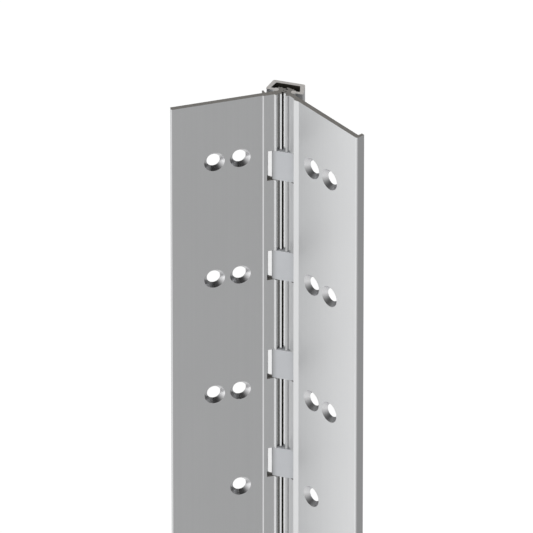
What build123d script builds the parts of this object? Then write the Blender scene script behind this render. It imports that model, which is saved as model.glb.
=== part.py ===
"""A continuous geared hinge.

Two extruded leaves turn on the two round beads of a C-shaped cap, and their gear teeth mesh with
each other, so that both leaves always make the same angle with the cap. Thrust bearing blocks
sit in notches that are cut through both gears, and carry the door's weight from leaf to leaf.

The frame leaf lies in the XZ plane with its seat at Y = 0 and its front towards -Y. Z runs along
the hinge. The origin is at mid height, on the seat, between the two columns of holes. Sections
are drawn in each leaf's own pair of directions: along the leaf from its gear axis, and towards
its front face.
"""
import math
import os

from build123d import *

os.makedirs("parts", exist_ok=True)

# Length of the hinge, set by its bearings
bearing_count = 17
bearing_spacing = 65.0875
end_to_bearing = 46.04

# Pose that is modelled: how far each leaf is turned forward from the flat, fully open position
leaf_turn = 32.5

# Gears
gear_module = 0.84
teeth_per_turn = 12
frame_first_tooth = 77.0
tooth_count = 4
tooth_tip_width = 0.42
tooth_root_width = 1.54

# Beads of the cap and the sockets that turn on them
bead_radius = 1.58
running_clearance = 0.05
hook_wall = 1.42
hook_start = 200.0
hook_end = 222.0

# Leaves
leaf_thickness = 2.73
closed_gap = 1.68
edge_round = 0.42
frame_leaf_width = 60.2
door_leaf_width = 56.7

# Raised shoulder and alignment rib of the frame leaf
shoulder_rise = 0.37
shoulder_width = 8.8
shoulder_ramp = 0.63
rib_setback = 0.21
rib_depth = 2.3
rib_tip = 0.95
rib_foot = 1.58

# Wedge-shaped pad and outer lip of the door leaf
pad_end = 9.0
pad_step = 0.5
pad_clearance = 0.37
lip_depth = 5.25
lip_thickness = 1.9
lip_round = 1.25

# Cap
cap_wall = 2.2
cap_reach = 5.46
cap_flare = 1.58
cap_clearance = 0.74
cap_corner_round = 1.15
cap_foot_round = 0.63
bead_arm_clearance = 0.52

# Bearing blocks and the notches that hold them
notch_height = 19.05
frame_notch_edge = 6.36
door_notch_edge = 5.78
bearing_half_width = 6.0
bearing_end_clearance = 0.1
bearing_cap_clearance = 0.16
bearing_corner_relief = 0.32
bearing_face_clearance = 0.74

# Countersunk holes. The door leaf's sinks are wide enough to go right through it
hole_diameter = 7.5
frame_sink_diameter = 11.7
door_sink_diameter = 12.4
sink_angle = 82.0
frame_hole_column = 21.4
door_hole_column = 19.6
hole_column_gap = 14.6
first_hole_row = 38.1
hole_row_gap = 76.2
paired_rows = 3
single_row = 254.0
middle_holes = 1

# Sizes that follow from the ones above
hinge_length = 2 * end_to_bearing + (bearing_count - 1) * bearing_spacing
pitch_radius = gear_module * teeth_per_turn / 2
tip_radius = pitch_radius + gear_module
root_radius = pitch_radius - 1.25 * gear_module
tooth_pitch = 360 / teeth_per_turn
half_tip = math.degrees(math.asin(tooth_tip_width / 2 / tip_radius))
half_root = math.degrees(math.asin(tooth_root_width / 2 / root_radius))
door_first_tooth = frame_first_tooth + tooth_pitch / 2
socket_radius = bead_radius + running_clearance
hook_radius = socket_radius + hook_wall
front = pitch_radius - closed_gap / 2
back = front - leaf_thickness
arm_half = back - bead_arm_clearance
pad_rise = closed_gap - shoulder_rise - pad_clearance
bearing_heights = [
    hinge_length / 2 - end_to_bearing - index * bearing_spacing for index in range(bearing_count)
]

# The frame leaf's gear axis, the door leaf's gear axis and the middle of the cap between them
frame_axis = Vector(frame_hole_column + hole_column_gap / 2, back, 0)
cap_direction = Vector(1, 0, 0).rotate(Axis.Z, -leaf_turn)
door_direction = Vector(1, 0, 0).rotate(Axis.Z, -2 * leaf_turn)
cap_middle = frame_axis + cap_direction * pitch_radius
door_axis = cap_middle + cap_direction * pitch_radius

frame_section = Plane(origin=frame_axis, x_dir=(-1, 0, 0), z_dir=(0, 0, 1))
door_section = Plane(origin=door_axis, x_dir=door_direction, z_dir=(0, 0, -1))
cap_section = Plane(origin=cap_middle, x_dir=cap_direction, z_dir=(0, 0, 1))


def polar(radius, angle):
    """The point of a section at this radius and angle from the gear axis."""
    return (radius * math.cos(math.radians(angle)), radius * math.sin(math.radians(angle)))


def between(start, end, share):
    """The point that lies this share of the way from start to end."""
    return tuple(a + (b - a) * share for a, b in zip(start, end))


def tooth_points(first_tooth):
    """The corners of a run of straight-sided teeth, from the first tip to the last root."""
    points = []
    for index in range(tooth_count):
        middle = first_tooth + index * tooth_pitch
        if index > 0:
            points.append(polar(root_radius, middle - half_root))
        points.append(polar(tip_radius, middle - half_tip))
        points.append(polar(tip_radius, middle + half_tip))
        points.append(polar(root_radius, middle + half_root))
    return points


def draw_knuckle(first_tooth):
    """Draws the teeth, the hook behind them and the socket, as far as the back of the leaf."""
    socket_start = math.degrees(math.asin(back / socket_radius))
    Polyline(
        *tooth_points(first_tooth),
        polar(root_radius, hook_start),
        polar(hook_radius, hook_start),
        polar(hook_radius, hook_end),
        polar(socket_radius, hook_end),
    )
    CenterArc((0, 0), socket_radius, hook_end, socket_start - hook_end)
    return polar(socket_radius, socket_start)


def hole_places(column):
    """Where the holes of a leaf lie, as distances along the leaf and along the hinge."""
    half = hinge_length / 2
    outer_column = column + hole_column_gap
    places = []
    for index in range(paired_rows):
        height = half - first_hole_row - index * hole_row_gap
        places += [(x, z) for x in (column, outer_column) for z in (height, -height)]
    spaces = middle_holes + 1
    middle_gap = (hinge_length - 2 * single_row) / spaces
    places += [(column, half - single_row - index * middle_gap) for index in range(spaces + 1)]
    return places


def cut_holes(section, column, sink_diameter):
    """Cuts a leaf's countersunk holes from its front face."""
    across = section.y_dir
    face = Plane(origin=section.origin + across * front, x_dir=section.x_dir, z_dir=across)
    with Locations(face):
        with Locations(*hole_places(column)):
            CounterSinkHole(
                radius=hole_diameter / 2,
                counter_sink_radius=sink_diameter / 2,
                counter_sink_angle=sink_angle,
            )


def cut_notches(section, edge):
    """Cuts away the gear at every bearing, as far out along the leaf as edge."""
    reach = tip_radius + 2 * gear_module
    face = Plane(origin=section.origin, x_dir=section.x_dir, z_dir=section.y_dir)
    with BuildSketch(face) as notches:
        with Locations(*[((edge - reach) / 2, height) for height in bearing_heights]):
            Rectangle(edge + reach, notch_height)
    extrude(notches.sketch, amount=reach, both=True, mode=Mode.SUBTRACT)


# Frame leaf
shoulder_top = front + shoulder_rise
first_flank_foot = polar(pitch_radius, frame_first_tooth - tooth_pitch / 2)[0]
rib_start = frame_notch_edge + rib_setback
rib_slope = (rib_foot - rib_tip) / 2

with BuildPart() as frame_leaf:
    with BuildSketch(frame_section) as frame_profile:
        with BuildLine():
            socket_edge = draw_knuckle(frame_first_tooth)
            Polyline(
                socket_edge,
                (rib_start, back),
                (rib_start + rib_slope, back - rib_depth),
                (rib_start + rib_slope + rib_tip, back - rib_depth),
                (rib_start + rib_foot, back),
                (frame_leaf_width, back),
                (frame_leaf_width, front),
                (shoulder_width, front),
                (shoulder_width - shoulder_ramp, shoulder_top),
                (first_flank_foot, shoulder_top),
                polar(tip_radius, frame_first_tooth - half_tip),
            )
        make_face()
        outer_corners = frame_profile.vertices().sort_by(Axis.X)[-2:]
        fillet(outer_corners, radius=edge_round)
    extrude(amount=hinge_length / 2, both=True)
    cut_notches(frame_section, frame_notch_edge)
    cut_holes(frame_section, frame_hole_column, frame_sink_diameter)

frame_leaf.part.label = "frame_leaf"
export_step(frame_leaf.part, "parts/frame_leaf.step")

# Door leaf: its front runs on under the wedge-shaped pad to the flank of the first tooth
flank_foot = polar(root_radius, door_first_tooth - half_root)
first_tip = polar(tip_radius, door_first_tooth - half_tip)
front_share = (front - flank_foot[1]) / (first_tip[1] - flank_foot[1])
lip_end = front - lip_depth

with BuildPart() as door_leaf:
    with BuildSketch(door_section) as door_profile:
        with BuildLine():
            socket_edge = draw_knuckle(door_first_tooth)
            Polyline(
                socket_edge,
                (door_leaf_width - lip_thickness, back),
                (door_leaf_width - lip_thickness, lip_end),
                (door_leaf_width, lip_end),
                (door_leaf_width, front),
                (pad_end, front),
                (door_notch_edge, front + pad_rise),
                (door_notch_edge - pad_step, front),
                between(flank_foot, first_tip, front_share),
                first_tip,
            )
        make_face()
        outer_corner = door_profile.vertices().sort_by_distance((door_leaf_width, front))[0]
        fillet(outer_corner, radius=lip_round)
    extrude(amount=hinge_length / 2, both=True)
    cut_notches(door_section, door_notch_edge)
    cut_holes(door_section, door_hole_column, door_sink_diameter)

door_leaf.part.label = "door_leaf"
export_step(door_leaf.part, "parts/door_leaf.step")

# Cap
cap_half_width = pitch_radius + cap_reach
cap_inner = tip_radius + cap_clearance
cap_outer = cap_inner + cap_wall
inner_half_width = cap_half_width - cap_wall

with BuildPart() as gear_cap:
    with BuildSketch(cap_section):
        with BuildSketch(mode=Mode.PRIVATE) as cap_outline:
            with BuildLine():
                Polyline(
                    (-cap_half_width, -arm_half),
                    (cap_half_width, -arm_half),
                    (cap_half_width, arm_half),
                    (cap_half_width - cap_flare, cap_outer),
                    (-cap_half_width + cap_flare, cap_outer),
                    (-cap_half_width, arm_half),
                    close=True,
                )
            make_face()
            fillet(cap_outline.vertices().group_by(Axis.Y)[-1], radius=cap_corner_round)
            fillet(cap_outline.vertices().group_by(Axis.Y)[0], radius=cap_foot_round)
        with BuildSketch(mode=Mode.PRIVATE) as cap_channel:
            with BuildLine():
                Polyline(
                    (-inner_half_width, arm_half),
                    (inner_half_width, arm_half),
                    (inner_half_width - cap_flare, cap_inner),
                    (-inner_half_width + cap_flare, cap_inner),
                    close=True,
                )
            make_face()
            fillet(cap_channel.vertices(), radius=cap_foot_round)
        add(cap_outline)
        add(cap_channel, mode=Mode.SUBTRACT)
        Rectangle(2 * pitch_radius, 4 * arm_half, mode=Mode.SUBTRACT)
        with Locations((-pitch_radius, 0), (pitch_radius, 0)):
            Circle(bead_radius)
    extrude(amount=hinge_length / 2, both=True)

gear_cap.part.label = "gear_cap"
export_step(gear_cap.part, "parts/gear_cap.step")

# Bearing blocks, numbered from the top. Each has a face that stays behind the closed leaves, a
# neck that passes between the beads, and a foot inside the cap
bead_gap = bead_radius + bearing_cap_clearance
neck_half = pitch_radius - bead_gap
block_face = door_notch_edge - bearing_face_clearance
block_half = inner_half_width - cap_flare - bearing_cap_clearance - bearing_corner_relief
block_back = cap_inner - bearing_cap_clearance
block_height = notch_height - 2 * bearing_end_clearance

for number, height in enumerate(bearing_heights, start=1):
    with BuildPart() as bearing:
        with BuildSketch(cap_section.offset(height)):
            with BuildLine():
                right_side = Polyline(
                    (0, -block_face),
                    (bearing_half_width, -block_face),
                    (bearing_half_width, -bead_gap),
                    (neck_half, -bead_gap),
                    (neck_half, bead_gap),
                    (block_half, bead_gap),
                    (block_half, block_back),
                    (0, block_back),
                )
                mirror(right_side, about=Plane.YZ)
            make_face()
        extrude(amount=block_height / 2, both=True)
    name = f"bearing_{number:02d}"
    bearing.part.label = name
    export_step(bearing.part, f"parts/{name}.step")
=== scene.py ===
# %% [markdown]
# # A continuous geared hinge
#
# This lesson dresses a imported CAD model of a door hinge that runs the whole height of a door.
# Two aluminium leaves mesh with gear teeth, a C-shaped cap holds them together from behind, and
# pale thrust bearing blocks sit in notches along the knuckle. The CAD model already has the right
# shapes, so it is loaded as a fixed frame, and Blender adds the finishes, the curved tooth sides,
# the moulded bearing blocks, the light and the camera.

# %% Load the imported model
import math

import bmesh
import bpy
from mathutils import Matrix, Vector


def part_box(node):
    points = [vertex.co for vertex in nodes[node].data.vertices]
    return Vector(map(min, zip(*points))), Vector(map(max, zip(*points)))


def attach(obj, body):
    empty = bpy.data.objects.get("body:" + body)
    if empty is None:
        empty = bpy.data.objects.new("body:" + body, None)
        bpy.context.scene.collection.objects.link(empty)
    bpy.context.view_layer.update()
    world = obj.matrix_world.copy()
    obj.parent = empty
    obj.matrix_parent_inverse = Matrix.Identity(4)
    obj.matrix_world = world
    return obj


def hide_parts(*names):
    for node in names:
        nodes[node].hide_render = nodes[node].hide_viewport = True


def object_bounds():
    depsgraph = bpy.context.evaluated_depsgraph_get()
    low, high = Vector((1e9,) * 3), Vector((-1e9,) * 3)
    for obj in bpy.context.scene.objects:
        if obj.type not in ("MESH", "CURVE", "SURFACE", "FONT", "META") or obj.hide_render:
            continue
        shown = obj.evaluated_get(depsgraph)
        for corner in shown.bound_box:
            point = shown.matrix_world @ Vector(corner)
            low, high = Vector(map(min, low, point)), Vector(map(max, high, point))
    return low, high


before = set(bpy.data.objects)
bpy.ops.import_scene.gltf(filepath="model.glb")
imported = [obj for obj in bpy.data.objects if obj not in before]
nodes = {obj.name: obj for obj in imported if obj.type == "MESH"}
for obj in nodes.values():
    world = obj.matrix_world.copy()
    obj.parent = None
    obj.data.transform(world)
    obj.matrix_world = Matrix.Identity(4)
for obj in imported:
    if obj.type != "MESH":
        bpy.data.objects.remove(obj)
cad_low, cad_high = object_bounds()
print("CAD box from", tuple(cad_low), "to", tuple(cad_high))

# %% [markdown]
# ## Where things are
#
# Everything is in metres, with Z up along the hinge. The frame leaf lies flat in the XZ plane.
# The cap is turned 32.5 degrees from it, and the door leaf another 32.5 degrees. The hinge's
# own gear axes are all that the later steps need, so they are written once, here.

# %% Places on the hinge
MM = 0.001
top = cad_high.z
leaf_turn = math.radians(32.5)
frame_axis = Vector((28.7, 1.47, 0)) * MM
pitch_radius = 5.04 * MM
cap_direction = Matrix.Rotation(-leaf_turn, 3, "Z") @ Vector((1, 0, 0))
cap_back = Matrix.Rotation(-leaf_turn, 3, "Z") @ Vector((0, 1, 0))
cap_middle = frame_axis + cap_direction * pitch_radius
door_axis = cap_middle + cap_direction * pitch_radius
print("top end at", round(top, 4), "cap middle at", tuple(cap_middle))

# %% [markdown]
# A leaf's section is measured from its gear axis: along the leaf, and out to its front. Each leaf
# has four teeth, evenly spaced, and the last number gives the place of the first one, in degrees
# from along the leaf. Both leaves are described in the same way, so that one function can finish
# either.

# %% Both leaves' sections
teeth, tooth_turn = 4, 30
sections = {
    "frame_leaf": (frame_axis, Vector((-1, 0, 0)), Vector((0, -1, 0)), 77),
    "door_leaf": (
        door_axis,
        Matrix.Rotation(-2 * leaf_turn, 3, "Z") @ Vector((1, 0, 0)),
        Matrix.Rotation(-2 * leaf_turn, 3, "Z") @ Vector((0, -1, 0)),
        92,
    ),
}


def direction_in(node_name, angle):
    """A direction in a leaf's section, by its angle from along the leaf."""
    _, along, front, _ = sections[node_name]
    return along * math.cos(angle) + front * math.sin(angle)


def polar(node_name, radius, angle):
    """A point of a leaf's section, by radius and angle about its gear axis."""
    return sections[node_name][0] + direction_in(node_name, angle) * radius


print("door leaf runs towards", tuple(direction_in("door_leaf", 0)))

# %% [markdown]
# ## The camera
#
# The photograph looks down on the concave side from the left. A very long lens keeps the long
# edges parallel, as they are there, where a near camera would make them converge. The camera
# looks at a point on the knuckle a little way below the top end, so that the picture's lower edge
# cuts the hinge off.

# %% Camera
camera_azimuth = math.radians(-15.97)
camera_elevation = math.radians(33.76)
camera_distance = 9.7008
aim_below_top = 0.115
aim_right = -9.99 * MM
aim_up = 0.24 * MM

level = math.cos(camera_elevation)
backwards = Vector(
    (
        math.sin(camera_azimuth) * level,
        -math.cos(camera_azimuth) * level,
        math.sin(camera_elevation),
    )
)
rightwards = Vector((math.cos(camera_azimuth), math.sin(camera_azimuth), 0))
upwards = backwards.cross(rightwards)
aim = Vector((cap_middle.x, cap_middle.y, top - aim_below_top))
aim += rightwards * aim_right + upwards * aim_up

camera_data = bpy.data.cameras.new("camera")
camera_data.lens = 1200
camera_data.sensor_width = 36
camera_data.clip_start = 0.1
camera_data.clip_end = 100
camera = bpy.data.objects.new("camera", camera_data)
camera.location = aim + backwards * camera_distance
camera.rotation_euler = backwards.to_track_quat("Z", "Y").to_euler()
bpy.context.scene.collection.objects.link(camera)
bpy.context.scene.camera = camera
print("camera at", tuple(camera.location))

# %% [markdown]
# ## Helpers for finishes
#
# A finish is a small tree of nodes, and the same few steps come back in each one: start a
# material, stretch a noise along the hinge, map a value onto another range, mix, and measure a
# place across the hinge. The nodes could be placed one by one for each finish, but then it would
# be hard to see what is special to it. So each step is a helper, and a helper takes either a plain
# value or another node's socket.


# %% Node helpers
def add_node(tree, kind, inputs=None, **settings):
    """Adds a node and sets its properties. Each input gets a value or a link from a socket."""
    node = tree.nodes.new(kind)
    for name, value in settings.items():
        setattr(node, name, value)
    for name, value in (inputs or {}).items():
        if isinstance(value, bpy.types.NodeSocket):
            tree.links.new(value, node.inputs[name])
        else:
            node.inputs[name].default_value = value
    return node


def start_finish(name, **values):
    """Makes a material with one Principled shader, whose plain values are set by name."""
    finish = bpy.data.materials.new(name)
    finish.use_nodes = True
    tree = finish.node_tree
    shader = tree.nodes["Principled BSDF"]
    for socket, value in values.items():
        shader.inputs[socket.replace("_", " ")].default_value = value
    return finish, tree, shader


def grain(tree, scales, detail):
    """Noise in object coordinates, stretched by its scale along each axis, per metre."""
    place = add_node(tree, "ShaderNodeTexCoord").outputs["Object"]
    stretch = add_node(tree, "ShaderNodeMapping", {"Vector": place, "Scale": scales})
    settings = {"Vector": stretch.outputs["Vector"], "Scale": 1.0, "Detail": detail}
    return add_node(tree, "ShaderNodeTexNoise", settings).outputs["Fac"]


def between(tree, value, low, high, start=0.0, end=1.0):
    """Maps a value from the range low to high onto the range start to end."""
    ranges = {"Value": value, "From Min": low, "From Max": high, "To Min": start, "To Max": end}
    return add_node(tree, "ShaderNodeMapRange", ranges).outputs["Result"]


def mix_colours(tree, share, first, second):
    """Mixes two colours."""
    sockets = {0: share, 6: first, 7: second}
    return add_node(tree, "ShaderNodeMix", sockets, data_type="RGBA").outputs[2]


def mix_values(tree, share, first, second):
    """Mixes two plain values."""
    return add_node(tree, "ShaderNodeMix", {0: share, 2: first, 3: second}).outputs[0]


def combine(tree, operation, first, second=0):
    """Puts one or two values through a maths node."""
    return add_node(tree, "ShaderNodeMath", {0: first, 1: second}, operation=operation).outputs[0]


# %% [markdown]
# Some finishes depend on where a spot lies across the hinge, such as grease and painted shade at
# the root of a tooth. Object coordinates give that place. A gear axis is taken away from them and Z
# is left out, and what remains is measured by its length or along a direction. An attribute painted
# on the mesh could say the same, but it could be no finer than the mesh's corners.


# %% Helpers for places
def from_axis(tree, axis):
    """The object coordinates across the hinge, measured from an axis that runs along Z."""
    place = add_node(tree, "ShaderNodeTexCoord").outputs["Object"]
    offset = add_node(tree, "ShaderNodeVectorMath", {0: place, 1: axis}, operation="SUBTRACT")
    flat = {0: offset.outputs[0], 1: (1, 1, 0)}
    return add_node(tree, "ShaderNodeVectorMath", flat, operation="MULTIPLY").outputs[0]


def length_of(tree, vector):
    """How long a vector is."""
    return add_node(tree, "ShaderNodeVectorMath", {0: vector}, operation="LENGTH").outputs["Value"]


def reach(tree, vector, direction):
    """How far a vector reaches in a direction."""
    vectors = {0: vector, 1: direction}
    return add_node(tree, "ShaderNodeVectorMath", vectors, operation="DOT_PRODUCT").outputs["Value"]


# %% [markdown]
# ## Grease and painted shade on the gear teeth
#
# The gear teeth are packed with grease when the hinge is put together. Most of it stays at their
# roots and where they mesh, and these hollows lie in shade, so a leaf gets a dark film there that
# is partly grease and partly painted shade. The film could be a thin piece of its own, but it has
# no thickness to see. So it is part of the leaf's finish, placed by the distance from the gear axis
# and by the side of the second tooth, past which the teeth are in mesh.

# %% Grease and painted shade on the teeth
# Where the grease and painted shade start and reach full strength at the roots and in the mesh.
root_grease_and_shade_starts, root_grease_and_shade_full, root_grease_and_shade = 4.6 * MM, 4.2 * MM, 0.6
mesh_grease_and_shade_full = 0.2 * MM
teeth_start, teeth_full = 2.4 * MM, 2.7 * MM


def shaded_and_greased(tree, node_name):
    """Where a leaf's teeth are, and where grease and painted shade go: at their roots and where
    they mesh.
    """
    axis, _, _, first = sections[node_name]
    teeth_towards = direction_in(node_name, math.radians(first + tooth_turn * (teeth - 1) / 2))
    mesh_towards = direction_in(node_name, math.radians(first + tooth_turn + 90))
    place = from_axis(tree, axis)
    radius = length_of(tree, place)
    at_root = between(tree, radius, root_grease_and_shade_starts, root_grease_and_shade_full, 0, root_grease_and_shade)
    in_mesh = between(tree, reach(tree, place, mesh_towards), 0, mesh_grease_and_shade_full)
    on_teeth = between(tree, reach(tree, place, teeth_towards), teeth_start, teeth_full)
    grease_and_shade = combine(tree, "MULTIPLY", combine(tree, "MAXIMUM", at_root, in_mesh), on_teeth)
    return on_teeth, grease_and_shade


print("teeth start", round(teeth_start / MM, 2), "mm out from the gear axis")

# %% [markdown]
# ## Satin anodised aluminium
#
# The leaves and the cap are aluminium extrusions. Their long faces are etched and anodised: a
# soft grey sheen with faint lines along the hinge, left by the extrusion die. The ends and the
# notches were cut after anodising, so bare, duller metal shows there. The cut faces could have a
# material of their own, picked face by face. One material that reads the direction a face points
# in is simpler, and it holds for every end and notch: faces that look along the hinge get the cut
# finish. The teeth are rolled bright by each other, so they are the smoothest part.

# %% Aluminium finish
skin_dark, skin_pale = (0.66, 0.665, 0.67, 1), (0.70, 0.705, 0.71, 1)
skin_cloud, cloud_share = (0.62, 0.625, 0.63, 1), 0.25
# The dark colour at the teeth's roots and where they mesh: partly grease, partly painted shade.
grease_and_shade_colour = (0.13, 0.12, 0.10, 1)
skin_roughness, cut_roughness, tooth_roughness = (0.32, 0.38), (0.38, 0.5), 0.24
cut_metallic, dull_share = 0.4, 0.7
die_scale, cloud_scale, saw_scale = (900, 900, 4), (30, 30, 12), (2600, 260, 260)
die_line_strength, die_line_depth = 0.15, 0.02 * MM
end_facing, end_facing_full = 0.9, 0.95


def faces_the_ends(tree):
    """Is 1 on faces that look along the hinge, up or down."""
    facing = add_node(tree, "ShaderNodeNewGeometry").outputs["True Normal"]
    along = add_node(tree, "ShaderNodeSeparateXYZ", {"Vector": facing}).outputs["Z"]
    return between(tree, combine(tree, "ABSOLUTE", along), end_facing, end_facing_full)


def aluminium(name, cut_colour, toothed_node=None):
    """Anodised aluminium with die lines along Z and a bare, sawn finish on the end faces."""
    finish, tree, shader = start_finish(name)
    die_lines = grain(tree, die_scale, detail=3)
    clouds = between(tree, grain(tree, cloud_scale, detail=4), 0.3, 0.7, 0, cloud_share)
    saw_lines = grain(tree, saw_scale, detail=2)
    is_cut = faces_the_ends(tree)

    skin = mix_colours(tree, die_lines, skin_dark, skin_pale)
    skin = mix_colours(tree, clouds, skin, skin_cloud)
    rough = between(tree, die_lines, 0, 1, *skin_roughness)
    # On a leaf's teeth: grease and painted shade at the roots and where the teeth mesh.
    if toothed_node:
        on_teeth, grease_and_shade = shaded_and_greased(tree, toothed_node)
        skin = mix_colours(tree, grease_and_shade, skin, grease_and_shade_colour)
        rough = mix_values(tree, on_teeth, rough, tooth_roughness)

    dull = tuple(value * dull_share for value in cut_colour[:3]) + (1,)
    cut = mix_colours(tree, saw_lines, cut_colour, dull)
    cut_rough = between(tree, saw_lines, 0, 1, *cut_roughness)
    ripple = {"Strength": die_line_strength, "Distance": die_line_depth, "Height": die_lines}
    for socket, value in (
        ("Base Color", mix_colours(tree, is_cut, skin, cut)),
        ("Metallic", between(tree, is_cut, 0, 1, 1, cut_metallic)),
        ("Roughness", mix_values(tree, is_cut, rough, cut_rough)),
        ("Normal", add_node(tree, "ShaderNodeBump", ripple).outputs["Normal"]),
    ):
        tree.links.new(value, shader.inputs[socket])
    return finish


leaf_cut, cap_cut = (0.30, 0.285, 0.265, 1), (0.80, 0.77, 0.74, 1)
frame_finish = aluminium("frame_leaf_aluminium", leaf_cut, "frame_leaf")
door_finish = aluminium("door_leaf_aluminium", leaf_cut, "door_leaf")
cap_finish = aluminium("cap_aluminium", cap_cut)
print("made", frame_finish.name, door_finish.name, "and", cap_finish.name)

# %% [markdown]
# ## Painted shade in the channel, turned countersinks and wear plates
#
# The inside of the cap's deep channel is painted nearly black, as painted shade. The countersinks
# were turned after anodising, so they are bright, and so are the steel wear plates beside the
# bearing blocks. All three are a faint noise between two tones. The bright ones could share a
# material, but steel is smoother and paler than freshly turned aluminium, and the photograph shows
# it almost white.


# %% Painted channel shade and bright metal
def two_toned(name, scales, detail, tones, **values):
    """A finish whose colour is a noise between two tones."""
    finish, tree, shader = start_finish(name, **values)
    marks = grain(tree, scales, detail)
    tree.links.new(mix_colours(tree, marks, *tones), shader.inputs["Base Color"])
    return finish, tree, shader, marks


def polished(name, tones, roughness):
    """Bright metal with a faint change of tone and polish."""
    finish, tree, shader, marks = two_toned(name, (300, 300, 300), 1, tones, Metallic=1.0)
    tree.links.new(between(tree, marks, 0, 1, *roughness), shader.inputs["Roughness"])
    return finish


# Near-black tones painted inside the cap's channel as shade.
channel_shade_tones = (0.02, 0.018, 0.014, 1), (0.05, 0.045, 0.035, 1)
turned_metal = (0.72, 0.72, 0.73, 1), (0.80, 0.80, 0.81, 1)
wear_metal = (0.92, 0.92, 0.92, 1), (0.97, 0.97, 0.97, 1)
channel_shade_finish = two_toned("channel_painted_shade", (200, 200, 20), 3, channel_shade_tones, Roughness=0.5)[0]
sink_finish = polished("sink_aluminium", turned_metal, (0.2, 0.24))
plate_finish = polished("wear_steel", wear_metal, (0.1, 0.14))
print("made", channel_shade_finish.name, sink_finish.name, "and", plate_finish.name)

# %% [markdown]
# ## Acetal for the bearing blocks
#
# The thrust bearings are moulded from a hard, slippery plastic. It is pale and slightly blue, a
# little glossy, with a faint mottle. Its left edge, beside the leaf, is darkened as painted shade.
# A painted mask could say where, but every block is alike across the cap, so one distance from the
# cap's middle places the shade on all of them. Its square makes the shade fade quickly.

# %% Acetal finish
acetal_tones = (0.62, 0.635, 0.66, 1), (0.70, 0.715, 0.74, 1)
# A painted shade darkens the left edge of each block's head.
edge_shade_starts, edge_shade_full, edge_shade_share = -2 * MM, -6 * MM, 0.62
edge_shade_colour = (0.16, 0.155, 0.15, 1)

block_finish, acetal_tree, acetal_shader = start_finish("block_acetal", Roughness=0.38)
mottle = grain(acetal_tree, (120, 120, 120), detail=3)
unshaded_acetal = mix_colours(acetal_tree, mottle, *acetal_tones)
# The painted shade, strongest at the head's left edge and fading towards the middle.
across_cap = reach(acetal_tree, from_axis(acetal_tree, cap_middle), cap_direction)
to_edge = between(acetal_tree, across_cap, edge_shade_starts, edge_shade_full)
fading = combine(acetal_tree, "MULTIPLY", to_edge, to_edge)
edge_shade = between(acetal_tree, fading, 0, 1, 0, edge_shade_share)
acetal_colour = mix_colours(acetal_tree, edge_shade, unshaded_acetal, edge_shade_colour)
acetal_tree.links.new(acetal_colour, acetal_shader.inputs["Base Color"])
print("made", block_finish.name)

# %% [markdown]
# ## Helpers for shapes
#
# The real leaves and the cap are extrusions, and the CAD model has their sections. A CAD mesh is
# loose triangles with normals of its own, so a piece that is to be shaped further starts as a
# copy: its corners are merged, its flat faces are joined up again and its old normals are dropped.
# The helpers make one piece the active one, and pick faces or edges in edit mode by where they
# are. By hand they would be clicked on, and a rule for their place does the same in code.

# %% Shape helpers
same_corner, same_plane = 1e-6, math.radians(0.5)
round_up_to = math.radians(24)
near = 0.01 * MM


def work_on(*pieces):
    """Selects only these pieces and makes the first one active."""
    bpy.ops.object.select_all(action="DESELECT")
    for piece in pieces:
        piece.select_set(True)
    bpy.context.view_layer.objects.active = pieces[0]


def pick_faces(piece, test):
    """Selects the faces, in edit mode, whose corners all pass the test."""
    bpy.ops.mesh.select_all(action="DESELECT")
    mesh = bmesh.from_edit_mesh(piece.data)
    for face in mesh.faces:
        if all(test(corner.co) for corner in face.verts):
            face.select_set(True)
    bmesh.update_edit_mesh(piece.data)


def pick_edges_along(piece, place):
    """Selects the edges, in edit mode, that run straight up or down through a place."""
    bpy.ops.mesh.select_all(action="DESELECT")
    mesh = bmesh.from_edit_mesh(piece.data)
    for edge in mesh.edges:
        if all((corner.co - place).to_2d().length < near for corner in edge.verts):
            edge.select_set(True)
    bmesh.update_edit_mesh(piece.data)


def merged_copy(name, node_name):
    """Copies a CAD node's mesh, merges its corners, joins its flats and drops its old normals."""
    piece = bpy.data.objects.new(name, nodes[node_name].data.copy())
    bpy.context.scene.collection.objects.link(piece)
    work_on(piece)
    bpy.ops.object.mode_set(mode="EDIT")
    bpy.ops.mesh.select_all(action="SELECT")
    bpy.ops.mesh.remove_doubles(threshold=same_corner)
    bpy.ops.mesh.dissolve_limited(angle_limit=same_plane)
    bpy.ops.object.mode_set(mode="OBJECT")
    bpy.ops.mesh.customdata_custom_splitnormals_clear()
    return piece


def shade(piece, *finishes, flat_from=400 * MM**2):
    """Gives a piece its finishes. Round faces turn smooth, and larger flats stay flat."""
    work_on(piece)
    piece.data.materials.clear()
    for finish in finishes:
        piece.data.materials.append(finish)
    bpy.ops.object.shade_smooth_by_angle(angle=round_up_to)
    for face in piece.data.polygons:
        face.use_smooth = face.area < flat_from and abs(face.normal.z) < end_facing


# %% [markdown]
# ## The leaves and their gear teeth
#
# Each leaf carries four gear teeth around its bead. In the CAD model a tooth has straight sides.
# A real tooth that rolls on another has involute sides: the curve that the end of a taut thread
# draws as it unwinds from a circle. The pressure angle is how steeply the teeth push on each
# other. New teeth could be extruded from a curve, but they would have to be cut to fit the notches
# and the ends. So each straight side is cut across at a few heights with bisect, and the new edges
# are moved onto the curve.

# %% Tooth profile
root_radius, straight_tip, tip_radius = 3.99 * MM, 5.88 * MM, 5.8 * MM
root_width, tip_width = 1.54 * MM, 0.42 * MM
half_root = math.asin(root_width / 2 / root_radius)
half_tip = math.asin(tip_width / 2 / straight_tip)
half_at_pitch = math.radians(7.2)
pressure_angle = math.radians(32)
base_radius = pitch_radius * math.cos(pressure_angle)


def involute(angle):
    """The polar angle of an involute where it makes this angle with the radius."""
    return math.tan(angle) - angle


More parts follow.
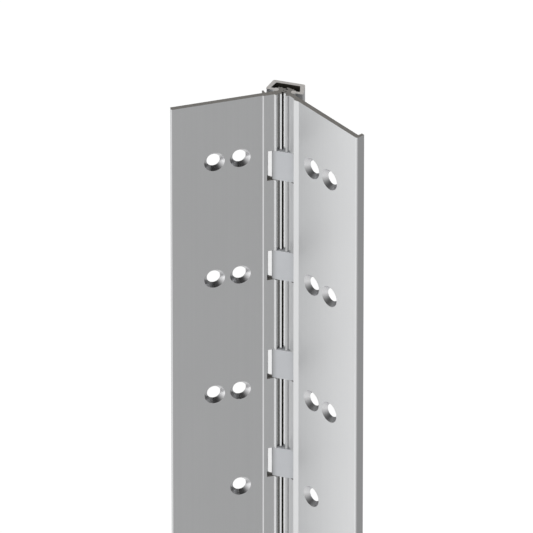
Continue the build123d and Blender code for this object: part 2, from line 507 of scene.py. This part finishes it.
def half_tooth(radius):
    """Half of the angle that an involute tooth spans at a radius."""
    here = math.acos(base_radius / radius)
    return half_at_pitch + involute(pressure_angle) - involute(here)


print("half a tooth at its tip:", round(math.degrees(half_tooth(tip_radius)), 2), "degrees")

# %% [markdown]
# Each cut is a share of the straight side's height and the radius that its edge moves to. A new
# edge is found again by where it is: it stands straight above and below its place in the section.

# %% Curved tooth sides
side_cuts = ((0.25, 4.5 * MM), (0.48, 4.9 * MM), (0.69, 5.3 * MM), (0.85, 5.6 * MM))


def over_line(start, end):
    """A test for points that stand straight above or below the line between two points."""
    step = (end - start).to_2d()
    length = step.length
    step.normalize()

    def test(point):
        offset = (point - start).to_2d()
        share = offset.dot(step)
        return abs(offset.cross(step)) < near and -near < share < length + near

    return test


def curve_side(piece, node_name, middle, side):
    """Turns one straight side of a tooth into an involute."""
    foot = polar(node_name, root_radius, middle + side * half_root)
    tip = polar(node_name, straight_tip, middle + side * half_tip)
    moves = [(tip, tip_radius)]
    for share, radius in side_cuts:
        place = foot.lerp(tip, share)
        pick_faces(piece, over_line(foot, tip))
        bpy.ops.mesh.bisect(plane_co=place, plane_no=(tip - foot).normalized())
        moves.append((place, radius))
    for place, radius in moves:
        goal = polar(node_name, radius, middle + side * half_tooth(radius))
        pick_edges_along(piece, place)
        bpy.ops.transform.translate(value=goal - place)


print("each curved side has", len(side_cuts), "cuts")

# %% [markdown]
# The frame leaf's first tooth grows out of the flat front, so it has one free side. The
# countersinks are the small faces that look half towards the front, and they get their own
# finish. Everything else keeps the leaf's.

# %% Both leaves
merged_side = ("frame_leaf", 0, -1)
sink_height, sink_facing, sink_facing_most = 13 * MM, 0.6, 0.72


def geared_leaf(name, node_name, finish):
    """Makes a leaf with involute tooth sides and turned countersinks."""
    _, _, front, first = sections[node_name]
    piece = merged_copy(name, node_name)
    bpy.ops.object.mode_set(mode="EDIT")
    bpy.context.tool_settings.mesh_select_mode = (True, False, False)
    for number in range(teeth):
        middle = math.radians(first + tooth_turn * number)
        for side in (-1, 1):
            if (node_name, number, side) != merged_side:
                curve_side(piece, node_name, middle, side)
    bpy.ops.object.mode_set(mode="OBJECT")

    shade(piece, finish, sink_finish)
    for face in piece.data.polygons:
        heights = [piece.data.vertices[index].co.z for index in face.vertices]
        is_low = max(heights) - min(heights) < sink_height
        is_slanted = sink_facing < face.normal.dot(front) < sink_facing_most
        face.material_index = int(is_low and is_slanted)
    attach(piece, node_name)
    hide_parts(node_name)
    print(name, "has", len(piece.data.polygons), "faces")


geared_leaf("frame_leaf_extrusion", "frame_leaf", frame_finish)
geared_leaf("door_leaf_extrusion", "door_leaf", door_finish)

# %% [markdown]
# ## The cap
#
# The cap is a C-shaped extrusion whose two arms end in round beads. It could be extruded anew from
# a curve, but its CAD section is right, so a merged copy with smooth beads is all that it needs.
# The faces inside its channel are found by their place in the section, and get the painted shade.

# %% Cap
channel_half, channel_front, channel_back = 8.35 * MM, 0.9 * MM, 6.7 * MM
cap_piece = merged_copy("cap_extrusion", "gear_cap")
shade(cap_piece, cap_finish, channel_shade_finish, flat_from=800 * MM**2)
# Faces inside the channel get the painted shade finish.
for face in cap_piece.data.polygons:
    offset = face.center - cap_middle
    across, back = offset.dot(cap_direction), offset.dot(cap_back)
    inside = abs(across) < channel_half and channel_front < back < channel_back
    face.material_index = int(inside and abs(face.normal.z) < end_facing)
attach(cap_piece, "cap")
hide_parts("gear_cap")
print("cap_extrusion has", len(cap_piece.data.polygons), "faces")

# %% [markdown]
# ## The thrust bearing blocks
#
# A block fills a notch and carries the door's weight. It is moulded: a head that faces the door
# opening, a neck that passes between the beads, and a foot inside the cap. A bright steel wear
# plate on the left of its head lies in front of the cap's arm and closes the gap beside the leaf.
# The block could be extruded upwards from one outline, but its parts are easier to see and to
# change when each is drawn out by itself. So it starts as a box of the head's size, its neck and
# foot are extruded from the back, and the wear plate from the left side. The plate slopes forward
# a little, towards the leaf, so that it mirrors the room and not the wall of the notch. One block
# is modelled about the cap's middle and then copied.

# %% One block
head_left, head_right = -6.0 * MM, 7.3 * MM
head_front, head_back = -5.04 * MM, -1.74 * MM
neck_half, foot_half, foot_front, foot_back = 3.30 * MM, 6.24 * MM, 1.74 * MM, 6.46 * MM
plate_left, plate_front, plate_rise = -9.1 * MM, -4.1 * MM, 0.62 * MM
block_height = 18.85 * MM

bpy.ops.object.select_all(action="DESELECT")
bpy.ops.mesh.primitive_cube_add(
    size=1,
    location=((head_left + head_right) / 2, (head_front + head_back) / 2, 0),
    scale=(head_right - head_left, head_back - head_front, block_height),
)
block = bpy.context.object
block.name = "bearing_block_01"
bpy.ops.object.transform_apply(location=True, rotation=True, scale=True)
bpy.ops.object.mode_set(mode="EDIT")
print("the head is", round((head_right - head_left) / MM, 2), "mm wide")

# %% [markdown]
# Cuts first divide the box where the neck and the plate begin, so that each of them can be drawn
# out of the faces that are there.


# %% Neck, foot and wear plate
def cut_block(place, normal):
    """Cuts the whole block across at a place."""
    bpy.ops.mesh.select_all(action="SELECT")
    bpy.ops.mesh.bisect(plane_co=place, plane_no=normal)


def draw_out(test, step):
    """Extrudes the faces that pass the test, by a step."""
    pick_faces(block, test)
    bpy.ops.mesh.extrude_region_move(TRANSFORM_OT_translate={"value": step})


cut_block((0, plate_front, 0), (0, 1, 0))
for side in (-1, 1):
    cut_block((side * neck_half, 0, 0), (1, 0, 0))
draw_out(
    lambda p: abs(p.y - head_back) < near and abs(p.x) < neck_half + near,
    (0, foot_front - head_back, 0),
)
draw_out(lambda p: abs(p.y - foot_front) < near, (0, foot_back - foot_front, 0))
for side in (-1, 1):
    draw_out(
        lambda p: abs(p.x - side * neck_half) < near and p.y > foot_front - near,
        (side * (foot_half - neck_half), 0, 0),
    )
draw_out(
    lambda p: abs(p.x - head_left) < near and p.y > plate_front - near,
    (plate_left - head_left, 0, 0),
)
pick_edges_along(block, Vector((plate_left, plate_front, 0)))
bpy.ops.transform.translate(value=(0, -plate_rise, 0))
bpy.ops.mesh.select_all(action="SELECT")
bpy.ops.mesh.dissolve_limited(angle_limit=same_plane)
print("the plate reaches", round((head_left - plate_left) / MM, 2), "mm past the head")

# %% [markdown]
# The head's long front edges are well rounded, because they catch the light beside the teeth.
# The other edges get the small rounding that every moulding has. A Bevel modifier would need a
# weight on every edge to tell them apart, so the operator does each kind by itself.

# %% Round its edges
left_rounding, right_rounding, rounding_steps = 0.7 * MM, 0.4 * MM, 5
small_rounding, small_steps, sharp_from = 0.15 * MM, 2, math.radians(50)

for side, rounding in ((head_left, left_rounding), (head_right, right_rounding)):
    pick_edges_along(block, Vector((side, head_front, 0)))
    bpy.ops.mesh.bevel(offset=rounding, segments=rounding_steps, affect="EDGES")
bpy.ops.mesh.select_all(action="DESELECT")
bpy.context.tool_settings.mesh_select_mode = (False, True, False)
bpy.ops.mesh.edges_select_sharp(sharpness=sharp_from)
bpy.ops.mesh.bevel(offset=small_rounding, segments=small_steps, affect="EDGES")
bpy.context.tool_settings.mesh_select_mode = (True, False, False)
bpy.ops.mesh.select_all(action="SELECT")
bpy.ops.mesh.normals_make_consistent(inside=False)
bpy.ops.object.mode_set(mode="OBJECT")
shade(block, block_finish, plate_finish, flat_from=20 * MM**2)
for face in block.data.polygons:
    face.material_index = int(face.center.x < head_left - near and face.center.y < 0)
print("one block has", len(block.data.polygons), "faces")

# %% [markdown]
# Every notch gets its own block. An Array modifier would make one long piece of them, but on the
# real hinge they are separate mouldings, so each is a copy with its own mesh. It is moved to the
# middle of the CAD block that it stands for, and turned with the cap.

# %% Place all blocks
bearings = sorted(name for name in nodes if name.startswith("bearing_"))
blocks = [block]
for name in bearings[1:]:
    blocks.append(bpy.data.objects.new("bearing_block_" + name[-2:], block.data.copy()))
    bpy.context.scene.collection.objects.link(blocks[-1])
for piece, name in zip(blocks, bearings):
    lowest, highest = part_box(name)
    piece.location = (cap_middle.x, cap_middle.y, (lowest[2] + highest[2]) / 2)
    piece.rotation_euler.z = -leaf_turn
    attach(piece, "cap")
    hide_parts(name)
work_on(*blocks)
bpy.ops.object.transform_apply(location=True, rotation=True, scale=True)
print("placed", len(blocks), "blocks")

# %% [markdown]
# ## The floor
#
# The hinge stands on a white floor. A floor lit by the room alone would come out grey, and a
# stronger lamp would bleach the hinge. So the floor adds a little of its own light where the
# camera looks: it is white there, and it still shows the hinge's shadow.

# %% Floor
floor_half, floor_grey, floor_glow = 6, 0.5, 0.7

floor_mesh = bpy.data.meshes.new("floor")
builder = bmesh.new()
bmesh.ops.create_grid(builder, x_segments=1, y_segments=1, size=floor_half)
builder.to_mesh(floor_mesh)
builder.free()
floor = bpy.data.objects.new("floor", floor_mesh)
floor.location.z = cad_low.z
bpy.context.scene.collection.objects.link(floor)
floor.visible_glossy = False

floor_finish = bpy.data.materials.new("floor_white")
floor_finish.use_nodes = True
floor_tree = floor_finish.node_tree
floor_tree.nodes.clear()
floor_tone = {"Color": (floor_grey, floor_grey, floor_grey, 1)}
matte = add_node(floor_tree, "ShaderNodeBsdfDiffuse", floor_tone)
floor_seen = add_node(floor_tree, "ShaderNodeLightPath").outputs["Is Camera Ray"]
strength = combine(floor_tree, "MULTIPLY", floor_seen, floor_glow)
glow = add_node(floor_tree, "ShaderNodeEmission", {"Strength": strength})
both = add_node(floor_tree, "ShaderNodeAddShader", {0: matte.outputs[0], 1: glow.outputs[0]})
add_node(floor_tree, "ShaderNodeOutputMaterial", {"Surface": both.outputs[0]})
floor_mesh.materials.append(floor_finish)
print("floor at", round(floor.location.z, 4))

# %% [markdown]
# ## The room
#
# Metal shows what it mirrors, so the look of the leaves is mostly the look of the room around
# them. Panels and dark flags could stand there, as in a studio. A gradient in the world does the
# same and casts no shadows. It is brightest low on the left and dimmer towards the right and
# overhead, as in the photograph, and a dim wall behind keeps the hinge's back from going black.
# Only mirrored light sees it. Other light is even, and the camera sees plain white. Each pair
# below is a direction's share of an axis, and the room's strength there.

# %% Room
low_down, overhead = (-0.45, 1.0), (0.75, 0.06)
far_left, right_side = (-0.8, 1.2), (0.425, 0.4)
half_behind, behind = (0.3, 0.0), (0.85, 0.65)
even_light, white = 0.6, 1.0

world = bpy.data.worlds.new("white_room")
bpy.context.scene.world = world
world.use_nodes = True
room = world.node_tree
room.nodes.clear()
rays = add_node(room, "ShaderNodeLightPath").outputs
looking = add_node(room, "ShaderNodeTexCoord").outputs["Generated"]
looking = add_node(room, "ShaderNodeSeparateXYZ", {"Vector": looking}).outputs


def along_axis(axis, first, second):
    """The room's strength along one axis, between two places on it."""
    return between(room, looking[axis], first[0], second[0], first[1], second[1])


height_share = along_axis("Z", low_down, overhead)
side_share = along_axis("X", far_left, right_side)
back_wall = along_axis("Y", half_behind, behind)
mirrored = combine(room, "MULTIPLY", height_share, side_share)
mirrored = combine(room, "MAXIMUM", mirrored, back_wall)
light = mix_values(room, rays["Is Glossy Ray"], even_light, mirrored)
seen = combine(room, "MAXIMUM", rays["Is Camera Ray"], rays["Is Transmission Ray"])
light = mix_values(room, seen, light, white)
background = {"Color": (1, 1, 1, 1), "Strength": light}
background = add_node(room, "ShaderNodeBackground", background).outputs[0]
add_node(room, "ShaderNodeOutputWorld", {"Surface": background})
print("made", world.name)

# %% [markdown]
# ## The lamp
#
# One large, soft lamp at the left front gives the blocks and the shadow their form. A sun lamp
# would draw hard shadows in the notches. It isn't mirrored, because it would leave bright patches
# in the countersinks.

# %% Lamp
lamp_power, lamp_width, lamp_height = 18, 1.2, 1.6
lamp_offset = Vector((-1.6, -1.4, 1.0))

key_data = bpy.data.lights.new("key_light", "AREA")
key_data.shape = "RECTANGLE"
key_data.size = lamp_width
key_data.size_y = lamp_height
key_data.energy = lamp_power
key = bpy.data.objects.new("key_light", key_data)
key.location = aim + lamp_offset
key.rotation_euler = lamp_offset.to_track_quat("Z", "Y").to_euler()
bpy.context.scene.collection.objects.link(key)
key.visible_glossy = False
bpy.context.scene.view_settings.view_transform = "Standard"
print("lamp at", tuple(key.location))
